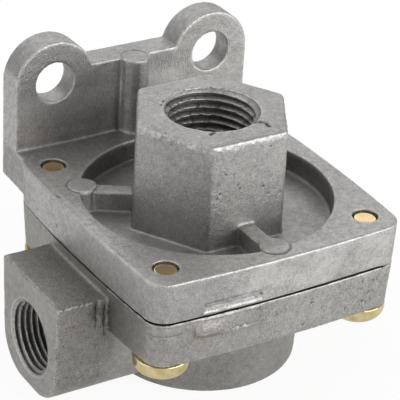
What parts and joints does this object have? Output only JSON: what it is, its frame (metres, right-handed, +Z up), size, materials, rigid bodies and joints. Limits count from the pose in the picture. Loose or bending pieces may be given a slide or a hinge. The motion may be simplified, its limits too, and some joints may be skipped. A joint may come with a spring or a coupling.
{
  "type": "quick exhaust valve",
  "caption": "Die-cast air valve with a hexagonal threaded inlet, side delivery ports, a bottom exhaust and an eared bracket; a sprung diaphragm switches the air.",
  "frame": {"origin": "centre of the exhaust drum's flat bottom, on the inlet's axis", "axes": "+Z up the inlet's axis, +X along the delivery ports, +Y towards the mounting bracket"},
  "size_m": [0.0868, 0.0729, 0.0642],
  "materials": {
    "casting": "tumbled die casting, matte with worn edges",
    "rubber": "moulded black rubber",
    "steel": "plain steel",
    "yellow_zinc": "steel with yellow zinc plating"
  },
  "bodies": {
    "casing": {"cover": "casting", "body": "casting", "flange_screws": "yellow_zinc", "cover_seal_ring": "rubber", "return_spring": "steel"},
    "valve_disc": {"diaphragm": "rubber", "spring_seat": "steel"}
  },
  "joints": [
    {"name": "diaphragm_travel", "type": "slide", "parent": "casing", "child": "valve_disc", "axis": [0, 0, -1], "range_m": [0, 0.003], "stiffness_N_per_m": 300, "springref_m": -0.006, "deforming": ["return_spring"]}
  ]
}
